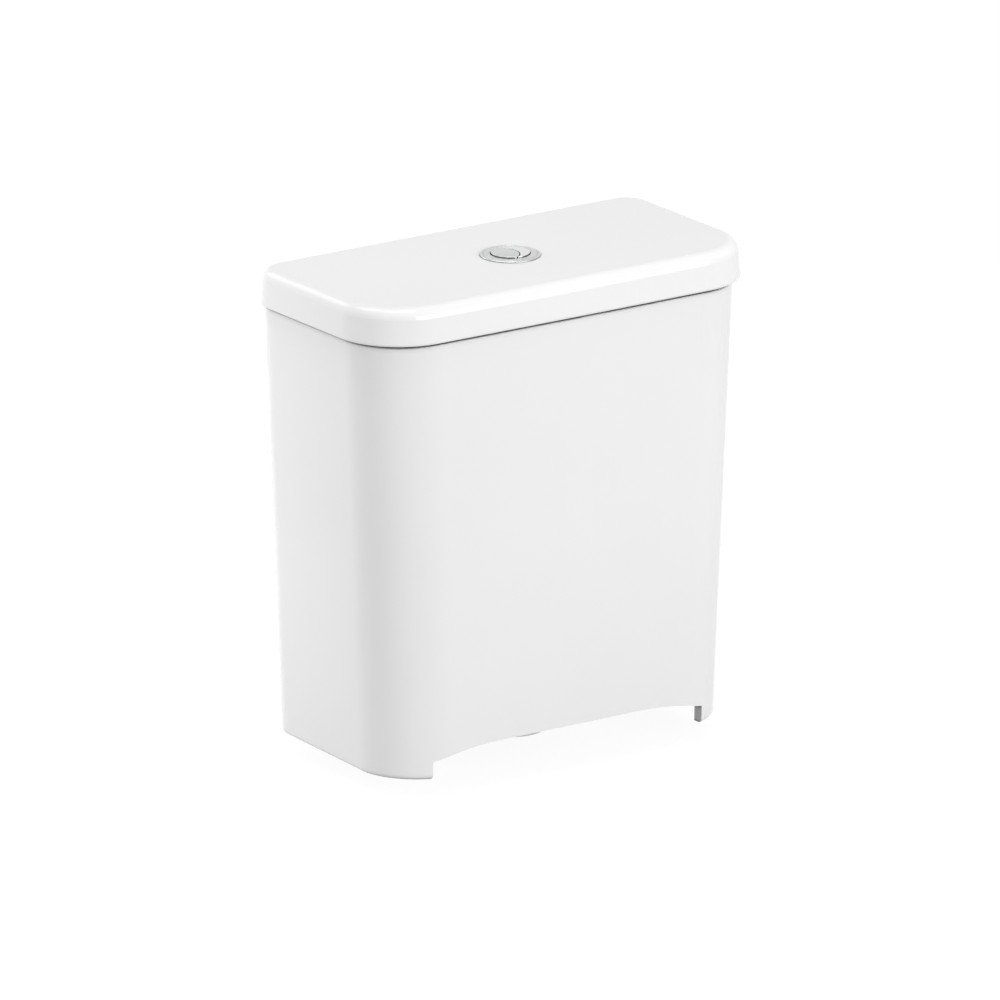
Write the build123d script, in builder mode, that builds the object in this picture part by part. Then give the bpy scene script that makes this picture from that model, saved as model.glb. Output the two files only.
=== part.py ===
from build123d import *

import math
import os

os.makedirs("parts", exist_ok=True)

# Close-coupled toilet cistern: ceramic tank and lid, two-part push button, flush valve and fill valve.
# Millimetres. X runs across the width, Y from the front to the wall, Z up.
# The origin is on the flush outlet's axis, level with the tank's two feet.

# Ceramic, outside
lid_width = 370.0
lid_depth = 183.0
lid_height = 30.0
rim_height = 358.2
axis_to_wall = 92.5
lid_front_radius = 55.0
body_front_radius = 54.0
lid_back_radius = 24.0
body_back_radius = 20.0
front_bow = 1.3
lid_draft = 2.1
back_grind = 0.05
lid_round = 9.5
lid_edge_round = 2.0
side_overhang = 5.7
front_overhang = 4.0
side_taper = 15.4
front_taper = 3.0
foot_round = 4.0
rim_round = 3.0
foot_back_rise = 4.0

# Ceramic, inside and below
tank_wall = 9.0
tank_floor = 10.0
inner_round = 8.0
recess_height = 22.7
recess_half_width = 129.0
recess_side_height = 14.5
recess_flat_half = 66.7
lid_plate = 10.0
lid_lip_depth = 6.0
lid_lip_width = 8.0
lid_lip_clearance = 2.0
cut_overrun = 5.0

# Fits
slip = 0.1
seat_gap = 0.3
guide_gap = 0.4
running_gap = 0.05

# Push button
bezel_radius = 24.25
bezel_height = 2.5
bezel_round = 1.2
button_radius = 15.5
button_gap = 0.5
button_cap = 2.5
button_skirt = 5.5
button_skirt_wall = 1.5
button_edge_round = 0.5
button_drop = 0.3
button_travel = 6.0
split_radius = 18.4
split_centre_x = -12.5
split_centre_y = 1.0
split_gap = 0.7
sleeve_wall = 2.5
sleeve_length = 43.0
guide_plate = 3.0
sleeve_hole_clearance = 1.0
button_nut_radius = 28.0
button_nut_height = 8.0
rod_x = 9.0
rod_y = 7.0
rod_radius = 2.0
stem_radius = 3.4
stem_length = 6.0
spring_radius = 2.85
spring_wire = 0.45
spring_turns = 5

# Flush valve
outlet_bore_radius = 25.5
outlet_thread_radius = 29.5
outlet_nose_radius = 28.0
outlet_nose_length = 10.0
outlet_hole_clearance = 3.0
base_flange_radius = 45.0
base_flange = 4.0
washer_thickness = 3.0
backnut_height = 11.0
backnut_radius = 39.0
backnut_lug_reach = 2.6
backnut_lug_width = 9.0
backnut_lugs = 8
gasket_radius = 50.0
gasket_height = 13.2
seat_height = 12.3
seat_wall = 3.0
seat_round = 1.0
cage_post_count = 4
cage_post_width = 10.0
cage_height = 46.0
cage_ring_height = 6.0
cage_ring_wall = 5.5
tower_radius = 34.5
tower_wall = 2.5
tower_insert = 12.0
tower_collar = 4.0
pivot_below_sleeve = 40.0
tower_ring = 6.0
tower_guide = 6.0
guide_above_float = 26.0
window_count = 4
window_width = 30.0
window_gap = 10.0
water_hole_radius = 5.0
cheek_wall = 3.0
cheek_gap = 1.0
cheek_head = 6.0

# Rocking levers of the flush valve
lever_pin_radius = 2.0
pivot_above_tower = 20.0
lever_hub_radius = 4.5
lever_thickness = 4.0
lever_width = 5.0
pad_overhang = 2.0
lift_arm = 22.0
pad_gap = 0.5

# Plunger of the flush valve
tube_radius = 11.0
tube_wall = 1.5
seal_radius = 31.0
seal_thickness = 3.5
carrier_radius = 29.0
carrier_thickness = 3.2
retainer_radius = 22.0
retainer_thickness = 3.0
tube_below_seat = 6.0
tube_top_below_pivot = 26.0
yoke_plate = 4.0
yoke_hub_wall = 2.5
yoke_below_top = 6.0
yoke_post = 3.5
yoke_ledge = 3.0
yoke_ledge_start = 19.5
yoke_post_clearance = 2.0
float_radius = 24.0
float_height = 46.0
float_wall = 1.6
float_above_carrier = 50.0

# Fixing bolts
bolt_spacing = 155.0
bolt_radius = 4.0
bolt_shank_radius = 3.6
bolt_below_floor = 29.7
bolt_below_nut = 0.6
bolt_hole_radius = 6.5
bolt_head_across = 13.0
bolt_head_height = 5.3
steel_washer_radius = 12.0
steel_washer = 1.6
cone_radius = 14.0
cone_disc = 3.0
cone_height = 8.0
cone_plug = 4.0
cone_taper = 42.0
nut_across = 13.0
nut_height = 4.0

# Fill valve
inlet_from_side = 67.0
inlet_y = 30.0
inlet_thread_radius = 10.48
inlet_bore_radius = 5.5
inlet_below_floor = 36.7
inlet_thread_length = 20.0
inlet_relief = 1.5
inlet_relief_depth = 0.8
inlet_hole_clearance = 1.5
inlet_flange_radius = 18.0
inlet_flange = 4.0
inlet_nut_across = 30.0
inlet_nut_height = 9.0
strainer_length = 16.0
strainer_wall = 0.9
riser_radius = 9.0
head_below_rim = 97.0
head_radius = 19.0
head_height = 20.0
head_wall = 3.0
seat_nozzle_wall = 1.8
seat_nozzle_drop = 2.0
diaphragm_thickness = 2.0
cap_radius = 21.0
cap_height = 8.0
cap_skirt = 6.0
cap_grips = 12
cap_grip_radius = 1.4
arm_pin_radius = 2.0
arm_pivot_offset = 6.0
arm_pivot_above_cap = 12.0
arm_length = 40.0
arm_width = 10.0
arm_thickness = 4.0
arm_ear_wall = 3.0
arm_ear_radius = 5.0
arm_slot_length = 11.0
arm_slot_gap = 0.8
arm_tail = 10.0
arm_gap = 0.5
bleed_offset = 8.0
bleed_radius = 2.0
clip_gap = 0.6
adjusting_rod_radius = 2.0
float_rise_height = 22.0
fill_float_length = 38.0
fill_float_width = 44.0
fill_float_height = 42.0
fill_float_below_head = 34.0
fill_float_gap = 3.0
fill_float_round = 6.0
fill_float_wall = 1.6
fill_collar_wall = 3.0
fill_collar_height = 14.0
fill_collar_mouth = 3.0
float_boss_radius = 5.0
float_boss_height = 6.0
rod_clip_radius = 4.5
rod_clip_height = 4.0
refill_radius = 4.0
refill_wall = 1.2
refill_offset = 14.0
refill_above_floor = 37.0

# Heights and places that follow
lid_top = rim_height + lid_height
inlet_x = lid_width / 2 - inlet_from_side
lid_front = axis_to_wall - lid_depth
lid_under_plate = lid_top - lid_plate
floor_under = recess_height
arch_rise = floor_under - recess_side_height
arch_run = recess_half_width - recess_flat_half
arch_radius = (arch_run ** 2 + arch_rise ** 2) / (2 * arch_rise)
floor_top = floor_under + tank_floor
sleeve_inner_radius = button_radius + button_gap
sleeve_radius = sleeve_inner_radius + sleeve_wall
sleeve_bottom = lid_top - sleeve_length
button_top = lid_top + bezel_height - button_drop
button_under = button_top - button_cap
base_flange_bottom = floor_top + washer_thickness
base_flange_top = base_flange_bottom + base_flange
seat_top = base_flange_top + seat_height
cage_top = base_flange_top + cage_height
cage_inner_radius = tower_radius + slip
cage_outer_radius = cage_inner_radius + cage_ring_wall
tower_bottom = cage_top - tower_insert
tower_inner_radius = tower_radius - tower_wall
pivot_height = sleeve_bottom - pivot_below_sleeve
tower_top = pivot_height - pivot_above_tower
lever_turn = button_travel / rod_x
lever_tilt = lever_turn / 2
tube_top = pivot_height - tube_top_below_pivot
seal_bottom = seat_top + seat_gap
carrier_bottom = seal_bottom + seal_thickness
carrier_top = carrier_bottom + carrier_thickness
plunger_lift = button_travel * lift_arm / rod_x
arm_tilt = float_rise_height / arm_length / 2
riser_top = rim_height - head_below_rim
head_top = riser_top + head_height
cap_bottom = head_top + diaphragm_thickness
cap_top = cap_bottom + cap_height
arm_pivot_x = inlet_x + arm_pivot_offset
arm_pivot_height = cap_top + arm_pivot_above_cap
float_rod_x = arm_pivot_x - arm_length * math.cos(arm_tilt)
arm_end_height = arm_pivot_height - arm_length * math.sin(arm_tilt)


def shrink(height):
    """How far the tank has tapered at this height: 0 at the rim and 1 at the feet."""
    return 1 - height / rim_height


def plan_outline(half_width, front, back, front_radius, rear_radius):
    """Plan shape of the ceramic: straight back and sides, gently bowed front."""
    with BuildSketch(Plane.XY) as plan:
        with BuildLine():
            Polyline((-half_width, front + front_bow), (-half_width, back), (half_width, back),
                     (half_width, front + front_bow))
            ThreePointArc((half_width, front + front_bow), (0, front), (-half_width, front + front_bow))
        make_face()
        fillet(plan.vertices().group_by(Axis.Y)[0], front_radius)
        fillet(plan.vertices().group_by(Axis.Y)[-1], rear_radius)
    return plan.sketch


def tank_outline(height, inset=0.0):
    """Plan shape of the tank at a height, moved inwards by the inset."""
    half_width = lid_width / 2 - side_overhang - side_taper * shrink(height) - inset
    front = lid_front + front_overhang + front_taper * shrink(height) + inset
    back = axis_to_wall + back_grind - inset
    return plan_outline(half_width, front, back, body_front_radius - inset, body_back_radius - inset)


def lid_outline(inset=0.0, draft=0.0):
    """Plan shape of the lid, moved inwards by the inset and drawn in by the draft."""
    return plan_outline(lid_width / 2 - draft - inset, lid_front + draft + inset, axis_to_wall - inset,
                        lid_front_radius - inset, lid_back_radius - inset)


def ring(inner, outer, bottom, height):
    """Plain ring on the outlet's axis."""
    with BuildPart() as piece:
        with BuildSketch(Plane.XY.offset(bottom)):
            Circle(outer)
            Circle(inner, mode=Mode.SUBTRACT)
        extrude(amount=height)
    return piece.part


def finish(piece, name):
    """Name a finished piece and write it."""
    piece.part.label = name
    export_step(piece.part, f"parts/{name}.step")


# Tank: tapered outside, hollow inside, with skirts that leave two feet beside the pan's deck
with BuildPart() as tank_water:
    with BuildSketch(Plane.XY.offset(floor_top)):
        add(tank_outline(floor_top, tank_wall))
    with BuildSketch(Plane.XY.offset(rim_height + cut_overrun)):
        add(tank_outline(rim_height + cut_overrun, tank_wall))
    loft()
    fillet(tank_water.faces().sort_by(Axis.Z)[0].edges(), inner_round)

with BuildPart() as tank_underside:
    with BuildSketch(Plane.XY.offset(-cut_overrun)):
        add(tank_outline(-cut_overrun, tank_wall))
    with BuildSketch(Plane.XY.offset(floor_under)):
        add(tank_outline(floor_under, tank_wall))
    loft()

with BuildPart() as tank:
    with BuildSketch(Plane.XY):
        add(tank_outline(0))
    with BuildSketch(Plane.XY.offset(rim_height)):
        add(tank_outline(rim_height))
    loft()
    split(bisect_by=Plane.XZ.offset(-axis_to_wall), keep=Keep.TOP)
    with BuildSketch(Plane.YZ):
        with BuildLine():
            Polyline((lid_front + lid_front_radius, 0), (axis_to_wall, 0), (axis_to_wall, foot_back_rise),
                     close=True)
        make_face()
    extrude(amount=lid_width, both=True, mode=Mode.SUBTRACT)
    fillet(tank.faces().sort_by(Axis.Z)[0].edges(), foot_round)
    fillet(tank.faces().sort_by(Axis.Z)[-1].edges(), rim_round)
    add(tank_water.part, mode=Mode.SUBTRACT)
    add(tank_underside.part, mode=Mode.SUBTRACT)
    with BuildSketch(Plane.XZ):
        with BuildLine():
            Polyline((-recess_flat_half, floor_under), (recess_flat_half, floor_under))
            RadiusArc((recess_flat_half, floor_under), (recess_half_width, recess_side_height),
                      arch_radius)
            Polyline((recess_half_width, recess_side_height), (recess_half_width, -cut_overrun),
                     (-recess_half_width, -cut_overrun), (-recess_half_width, recess_side_height))
            RadiusArc((-recess_half_width, recess_side_height), (-recess_flat_half, floor_under),
                      arch_radius)
        make_face()
    extrude(amount=lid_depth, both=True, mode=Mode.SUBTRACT)
    with BuildSketch(Plane.XY.offset(floor_under)):
        Circle(outlet_thread_radius + outlet_hole_clearance)
        with GridLocations(bolt_spacing, 0, 2, 1):
            Circle(bolt_hole_radius)
        with Locations((inlet_x, inlet_y)):
            Circle(inlet_thread_radius + inlet_hole_clearance)
    extrude(amount=tank_floor, mode=Mode.SUBTRACT)
finish(tank, "tank")

# Lid: rests on the tank's rim, with a lip that drops inside it
with BuildPart() as lid:
    with BuildSketch(Plane.XY.offset(rim_height)):
        add(lid_outline())
    with BuildSketch(Plane.XY.offset(lid_top)):
        add(lid_outline(draft=lid_draft))
    loft()
    fillet(lid.faces().sort_by(Axis.Z)[-1].edges(), lid_round)
    fillet(lid.faces().sort_by(Axis.Z)[0].edges(), lid_edge_round)
    with BuildSketch(Plane.XY.offset(rim_height - lid_lip_depth)):
        add(tank_outline(rim_height, tank_wall + lid_lip_clearance))
    extrude(amount=lid_lip_depth)
    with BuildSketch(Plane.XY.offset(rim_height - lid_lip_depth)):
        add(tank_outline(rim_height, tank_wall + lid_lip_clearance + lid_lip_width))
    extrude(amount=lid_under_plate - rim_height + lid_lip_depth, mode=Mode.SUBTRACT)
    with BuildSketch(Plane.XY.offset(lid_under_plate)):
        Circle(sleeve_radius + sleeve_hole_clearance)
    extrude(amount=lid_plate, mode=Mode.SUBTRACT)
finish(lid, "lid")

# Bezel with its threaded sleeve and the plate that guides the push rods
with BuildPart() as button_bezel:
    with BuildSketch(Plane.XY.offset(lid_top)):
        Circle(bezel_radius)
    extrude(amount=bezel_height)
    fillet(button_bezel.faces().sort_by(Axis.Z)[-1].edges(), bezel_round)
    with BuildSketch(Plane.XY.offset(sleeve_bottom)):
        Circle(sleeve_radius)
    extrude(amount=sleeve_length)
    with BuildSketch(Plane.XY.offset(sleeve_bottom + guide_plate)):
        Circle(sleeve_inner_radius)
    extrude(amount=sleeve_length + bezel_height, mode=Mode.SUBTRACT)
    with BuildSketch(Plane.XY.offset(sleeve_bottom)):
        with Locations((-rod_x, -rod_y), (rod_x, rod_y)):
            Circle(rod_radius + guide_gap)
    extrude(amount=guide_plate, mode=Mode.SUBTRACT)
finish(button_bezel, "button_bezel")

with BuildPart() as button_nut:
    with BuildSketch(Plane.XY.offset(lid_under_plate - button_nut_height)):
        RegularPolygon(button_nut_radius, 8)
        Circle(sleeve_radius + slip, mode=Mode.SUBTRACT)
    extrude(amount=button_nut_height)
finish(button_nut, "button_nut")


def full_outline(inset=0.0):
    """The larger part of the round button, inside the split's arc."""
    with BuildSketch(Plane.XY) as outline:
        Circle(button_radius - inset)
        with Locations((split_centre_x, split_centre_y)):
            Circle(split_radius - split_gap / 2 - inset, mode=Mode.INTERSECT)
    return outline.sketch


def half_outline(inset=0.0):
    """The crescent that is left of the round button, outside the split's arc."""
    with BuildSketch(Plane.XY) as outline:
        Circle(button_radius - inset)
        with Locations((split_centre_x, split_centre_y)):
            Circle(split_radius + split_gap / 2 + inset, mode=Mode.SUBTRACT)
    return outline.sketch


def push_button(outline, side):
    """Cap, skirt and rod socket of one part of the button."""
    with BuildPart() as piece:
        with BuildSketch(Plane.XY.offset(button_under - button_skirt)):
            add(outline())
        extrude(amount=button_skirt + button_cap)
        chamfer(piece.faces().sort_by(Axis.Z)[-1].edges(), button_edge_round)
        with BuildSketch(Plane.XY.offset(button_under - button_skirt)):
            add(outline(button_skirt_wall))
        extrude(amount=button_skirt, mode=Mode.SUBTRACT)
        with BuildSketch(Plane.XY.offset(button_under - stem_length)):
            with Locations((side * rod_x, side * rod_y)):
                Circle(stem_radius)
                Circle(rod_radius + slip, mode=Mode.SUBTRACT)
        extrude(amount=stem_length)
    return piece


def push_rod(side):
    """Round rod from the button's socket down to its lever, with a domed tip."""
    pad_height = rod_x * math.tan(lever_tilt) + lever_thickness / 2 / math.cos(lever_tilt)
    bottom = pivot_height + pad_height + pad_gap
    with BuildPart() as piece:
        with BuildSketch(Plane.XY.offset(bottom)):
            with Locations((side * rod_x, side * rod_y)):
                Circle(rod_radius)
        extrude(amount=button_under - bottom)
        fillet(piece.edges().group_by(Axis.Z)[0], rod_radius - slip)
    return piece


def return_spring(side):
    """Coil round the rod, between the guide plate and the button's socket."""
    bottom = sleeve_bottom + guide_plate + spring_wire + seat_gap
    height = button_under - stem_length - spring_wire - seat_gap - bottom
    rise = height / spring_turns / 2
    bulge = math.hypot(spring_radius, rise / 2)
    middle_x = side * rod_x
    middle_y = side * rod_y
    with BuildPart() as piece:
        with BuildLine() as coil:
            for half_turn in range(2 * spring_turns):
                turn_side = 1 if half_turn % 2 == 0 else -1
                start = bottom + half_turn * rise
                ThreePointArc((middle_x + turn_side * spring_radius, middle_y, start),
                              (middle_x, middle_y + turn_side * bulge, start + rise / 2),
                              (middle_x - turn_side * spring_radius, middle_y, start + rise))
        with BuildSketch(Plane(origin=coil.line @ 0, z_dir=coil.line % 0)):
            Circle(spring_wire)
        sweep()
    return piece


full_button = push_button(full_outline, -1)
finish(full_button, "full_button")
half_button = push_button(half_outline, 1)
finish(half_button, "half_button")
full_rod = push_rod(-1)
finish(full_rod, "full_rod")
half_rod = push_rod(1)
finish(half_rod, "half_rod")
full_spring = return_spring(-1)
finish(full_spring, "full_spring")
half_spring = return_spring(1)
finish(half_spring, "half_spring")

# Flush valve's base: nose and thread below the floor, flange, valve seat and the cage round it
seat_radius = outlet_bore_radius + seat_wall

with BuildPart() as valve_base:
    with BuildSketch(Plane.XZ):
        with BuildLine():
            Polyline((outlet_bore_radius, 0), (outlet_nose_radius, 0),
                     (outlet_nose_radius, outlet_nose_length), (outlet_thread_radius, outlet_nose_length),
                     (outlet_thread_radius, base_flange_bottom), (base_flange_radius, base_flange_bottom),
                     (base_flange_radius, base_flange_top), (seat_radius, base_flange_top),
                     (seat_radius, seat_top), (outlet_bore_radius, seat_top), close=True)
        make_face()
    revolve(axis=Axis.Z)
    fillet(valve_base.edges().filter_by(GeomType.CIRCLE).group_by(Axis.Z)[-1], seat_round)
    with BuildSketch(Plane.XY.offset(base_flange_top)):
        with PolarLocations(cage_outer_radius, cage_post_count):
            Rectangle(4 * cage_ring_wall, cage_post_width)
        Circle(cage_outer_radius, mode=Mode.INTERSECT)
        Circle(cage_inner_radius, mode=Mode.SUBTRACT)
    extrude(amount=cage_height)
    with BuildSketch(Plane.XY.offset(cage_top - cage_ring_height)):
        Circle(cage_outer_radius)
        Circle(cage_inner_radius, mode=Mode.SUBTRACT)
    extrude(amount=cage_ring_height)
finish(valve_base, "valve_base")

with BuildPart() as base_washer:
    add(ring(outlet_thread_radius + slip, base_flange_radius, floor_top, washer_thickness))
finish(base_washer, "base_washer")

with BuildPart() as outlet_backnut:
    with BuildSketch(Plane.XY.offset(floor_under - backnut_height)):
        Circle(backnut_radius)
        with PolarLocations(backnut_radius, backnut_lugs):
            Rectangle(2 * backnut_lug_reach, backnut_lug_width)
        Circle(outlet_thread_radius + slip, mode=Mode.SUBTRACT)
    extrude(amount=backnut_height)
finish(outlet_backnut, "outlet_backnut")

with BuildPart() as coupling_gasket:
    add(ring(backnut_radius + backnut_lug_reach + guide_gap, gasket_radius, floor_under - gasket_height,
             gasket_height))
finish(coupling_gasket, "coupling_gasket")

# Plunger: what lifts off the valve seat
plunger_float_bottom = carrier_top + float_above_carrier
plunger_float_top = plunger_float_bottom + float_height

tube_bottom = seat_top - tube_below_seat

with BuildPart() as overflow_tube:
    add(ring(tube_radius - tube_wall, tube_radius, tube_bottom, tube_top - tube_bottom))
finish(overflow_tube, "overflow_tube")

with BuildPart() as flush_seal:
    add(ring(tube_radius, seal_radius, seal_bottom, seal_thickness))
finish(flush_seal, "flush_seal")

with BuildPart() as seal_retainer:
    add(ring(tube_radius, retainer_radius, seal_bottom - retainer_thickness, retainer_thickness))
    chamfer(seal_retainer.edges().group_by(Axis.Z)[0].sort_by(SortBy.RADIUS)[-1], retainer_thickness / 2)
finish(seal_retainer, "seal_retainer")

with BuildPart() as seal_carrier:
    add(ring(tube_radius, carrier_radius, carrier_bottom, carrier_thickness))
    add(ring(tube_radius, tube_radius + carrier_thickness, carrier_top, 2 * carrier_thickness))
finish(seal_carrier, "seal_carrier")

with BuildPart() as flush_float:
    add(ring(tube_radius, float_radius, plunger_float_bottom, float_height))
    fillet(flush_float.edges().group_by(Axis.Z)[-1].sort_by(SortBy.RADIUS)[-1], 2 * float_wall)
    add(ring(tube_radius + float_wall, float_radius - float_wall, plunger_float_bottom,
             float_height - 2 * float_wall), mode=Mode.SUBTRACT)
finish(flush_float, "flush_float")

# Yoke on the overflow tube: each end has a hook over its lever
post_inner = lift_arm + lever_thickness / 2 + yoke_post_clearance
post_outer = post_inner + yoke_post
yoke_top = tube_top - yoke_below_top
lever_rise = lever_thickness / 2 / math.cos(lever_tilt)
full_ledge = pivot_height - yoke_ledge_start * math.tan(lever_tilt) + lever_rise + pad_gap
half_ledge = pivot_height + lift_arm * math.sin(lever_tilt) + lever_thickness / 2 + pad_gap

with BuildPart() as lift_yoke:
    with BuildSketch(Plane.XY.offset(yoke_top - yoke_plate)):
        Rectangle(2 * post_outer, 2 * rod_y + lever_width)
        Circle(tube_radius + yoke_hub_wall)
        Circle(tube_radius, mode=Mode.SUBTRACT)
    extrude(amount=yoke_plate)
    for side, ledge in ((1, full_ledge), (-1, half_ledge)):
        with BuildSketch(Plane.XZ.offset(side * rod_y)):
            with BuildLine():
                Polyline((side * post_outer, yoke_top), (side * post_outer, ledge + yoke_ledge),
                         (side * yoke_ledge_start, ledge + yoke_ledge), (side * yoke_ledge_start, ledge),
                         (side * post_inner, ledge), (side * post_inner, yoke_top), close=True)
            make_face()
        extrude(amount=lever_width / 2, both=True)
finish(lift_yoke, "lift_yoke")

# Tower: slotted tube in the base's cage, with a guide for the tube and two cheeks for the levers' pin
cheek_inner = tube_radius + yoke_hub_wall + cheek_gap
cheek_outer = cheek_inner + cheek_wall
cheek_half = math.sqrt((tower_radius - tower_wall / 2) ** 2 - cheek_outer ** 2)
tower_guide_bottom = plunger_float_top + plunger_lift + guide_above_float
lower_window = (cage_top + tower_collar + window_gap, tower_guide_bottom - window_gap)
upper_window = (tower_guide_bottom + tower_guide + window_gap, tower_top - tower_ring - window_gap)

with BuildPart() as valve_tower:
    add(ring(tower_inner_radius, tower_radius, tower_bottom, tower_top - tower_bottom))
    add(ring(tower_inner_radius, cage_outer_radius, cage_top, tower_collar))
    with BuildSketch(Plane.XY.offset(tower_guide_bottom)):
        Circle(tower_radius - tower_wall / 2)
        Circle(tube_radius + guide_gap, mode=Mode.SUBTRACT)
        with PolarLocations((tower_inner_radius + tube_radius) / 2, window_count):
            Circle(water_hole_radius, mode=Mode.SUBTRACT)
    extrude(amount=tower_guide)
    for bottom, top in (lower_window, upper_window):
        with BuildSketch(Plane.XY.offset(bottom)):
            with PolarLocations(tower_radius, window_count, start_angle=180 / window_count):
                Rectangle(4 * tower_wall, window_width)
        extrude(amount=top - bottom, mode=Mode.SUBTRACT)
    with BuildSketch(Plane.XZ):
        with BuildLine():
            Polyline((-cheek_half, tower_top - tower_ring), (cheek_half, tower_top - tower_ring),
                     (cheek_half, tower_top), (cheek_head, pivot_height + cheek_head),
                     (-cheek_head, pivot_height + cheek_head), (-cheek_half, tower_top), close=True)
        make_face()
        with Locations((0, pivot_height)):
            Circle(lever_pin_radius + slip, mode=Mode.SUBTRACT)
    extrude(amount=cheek_outer, both=True)
    with BuildSketch(Plane.XY.offset(tower_top - tower_ring)):
        Rectangle(2 * tower_radius, 2 * cheek_inner)
        Circle(tower_inner_radius, mode=Mode.INTERSECT)
    extrude(amount=pivot_height + 2 * cheek_head - tower_top + tower_ring, mode=Mode.SUBTRACT)
finish(valve_tower, "valve_tower")

with BuildPart() as lever_pin:
    with BuildSketch(Plane.XZ.offset(-cheek_outer - lever_pin_radius)):
        with Locations((0, pivot_height)):
            Circle(lever_pin_radius)
    extrude(amount=2 * (cheek_outer + lever_pin_radius))
finish(lever_pin, "lever_pin")


def rocking_lever(side):
    """Lever on the pin: its pad under the rod is up at rest and its lifting end is down."""
    pad_end = rod_x + pad_overhang
    middle = (lift_arm - pad_end) / 2
    middle_x = -side * middle * math.cos(lever_tilt)
    turn = side * math.degrees(lever_tilt)
    with BuildPart() as piece:
        with BuildSketch(Plane.XZ.offset(-side * rod_y)):
            with Locations((middle_x, pivot_height - middle * math.sin(lever_tilt))):
                SlotCenterToCenter(lift_arm + pad_end, lever_thickness, rotation=turn)
        extrude(amount=lever_width / 2, both=True)
        with BuildSketch(Plane.XZ.offset(-side * guide_gap)):
            with Locations((0, pivot_height)):
                Circle(lever_hub_radius)
        extrude(amount=-side * (cheek_inner - 2 * guide_gap))
        with BuildSketch(Plane.XZ):
            with Locations((0, pivot_height)):
                Circle(lever_pin_radius + running_gap)
        extrude(amount=cheek_outer, both=True, mode=Mode.SUBTRACT)
    return piece


full_lever = rocking_lever(-1)
finish(full_lever, "full_lever")
half_lever = rocking_lever(1)
finish(half_lever, "half_lever")

# Two fixing bolts with their seals, washers and lock nuts. The shank has the thread's pitch radius,
# where the bolt's and the lock nut's threads meet, and the free thread below has its full radius.
cone_top = floor_top + cone_height
bolt_head_bottom = cone_top + steel_washer
bolt_bottom = floor_under - bolt_below_floor
bolt_thread_top = floor_under - steel_washer - nut_height - bolt_below_nut


def pair_of_discs(outer, inner, bottom, height):
    """Two equal rings, one on each fixing bolt."""
    with BuildPart() as piece:
        with BuildSketch(Plane.XY.offset(bottom)):
            with GridLocations(bolt_spacing, 0, 2, 1):
                Circle(outer)
                Circle(inner, mode=Mode.SUBTRACT)
        extrude(amount=height)
    return piece


with BuildPart() as fixing_bolts:
    with BuildSketch(Plane.XY.offset(bolt_bottom)):
        with GridLocations(bolt_spacing, 0, 2, 1):
            Circle(bolt_radius)
    extrude(amount=bolt_thread_top - bolt_bottom)
    with BuildSketch(Plane.XY.offset(bolt_thread_top)):
        with GridLocations(bolt_spacing, 0, 2, 1):
            Circle(bolt_shank_radius)
    extrude(amount=bolt_head_bottom - bolt_thread_top)
    with BuildSketch(Plane.XY.offset(bolt_head_bottom)):
        with GridLocations(bolt_spacing, 0, 2, 1):
            RegularPolygon(bolt_head_across / 2, 6, major_radius=False)
    extrude(amount=bolt_head_height)
finish(fixing_bolts, "fixing_bolts")

bolt_top_washers = pair_of_discs(steel_washer_radius, bolt_radius + slip, cone_top, steel_washer)
finish(bolt_top_washers, "bolt_top_washers")

with BuildPart() as bolt_cone_seals:
    with BuildSketch(Plane.XY.offset(floor_top - cone_plug)):
        with GridLocations(bolt_spacing, 0, 2, 1):
            Circle(bolt_hole_radius - slip)
    extrude(amount=cone_plug)
    with BuildSketch(Plane.XY.offset(floor_top)):
        with GridLocations(bolt_spacing, 0, 2, 1):
            Circle(cone_radius)
    extrude(amount=cone_disc)
    with BuildSketch(Plane.XY.offset(floor_top + cone_disc)):
        with GridLocations(bolt_spacing, 0, 2, 1):
            Circle(cone_radius)
    extrude(amount=cone_height - cone_disc, taper=cone_taper)
    with BuildSketch(Plane.XY.offset(floor_top - cone_plug)):
        with GridLocations(bolt_spacing, 0, 2, 1):
            Circle(bolt_shank_radius + slip)
    extrude(amount=cone_height + cone_plug, mode=Mode.SUBTRACT)
finish(bolt_cone_seals, "bolt_cone_seals")

bolt_under_washers = pair_of_discs(steel_washer_radius, bolt_radius + slip, floor_under - steel_washer,
                                   steel_washer)
finish(bolt_under_washers, "bolt_under_washers")

with BuildPart() as bolt_lock_nuts:
    with BuildSketch(Plane.XY.offset(floor_under - steel_washer - nut_height)):
        with GridLocations(bolt_spacing, 0, 2, 1):
            RegularPolygon(nut_across / 2, 6, major_radius=False)
            Circle(bolt_shank_radius + slip, mode=Mode.SUBTRACT)
    extrude(amount=nut_height)
finish(bolt_lock_nuts, "bolt_lock_nuts")

# Fill valve on the bottom inlet
inlet_bottom = floor_under - inlet_below_floor
inlet_flange_bottom = floor_top + washer_thickness
inlet_flange_top = inlet_flange_bottom + inlet_flange
relief_bottom = inlet_bottom + inlet_thread_length
relief_top = relief_bottom + inlet_relief
relief_radius = inlet_thread_radius - inlet_relief_depth
inlet_place = (inlet_x, inlet_y)

with BuildPart() as inlet_shank:
    with BuildSketch(Plane(origin=(inlet_x, inlet_y, 0), x_dir=(1, 0, 0), z_dir=(0, -1, 0))):
        with BuildLine():
            Polyline((inlet_bore_radius, inlet_bottom), (inlet_thread_radius, inlet_bottom),
                     (inlet_thread_radius, relief_bottom), (relief_radius, relief_bottom),
                     (relief_radius, relief_top), (inlet_thread_radius, relief_top),
                     (inlet_thread_radius, inlet_flange_bottom), (inlet_flange_radius, inlet_flange_bottom),
                     (inlet_flange_radius, inlet_flange_top), (riser_radius, inlet_flange_top),
                     (riser_radius, riser_top), (inlet_bore_radius, riser_top), close=True)
        make_face()
    revolve(axis=Axis((inlet_x, inlet_y, 0), (0, 0, 1)))
finish(inlet_shank, "inlet_shank")

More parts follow.
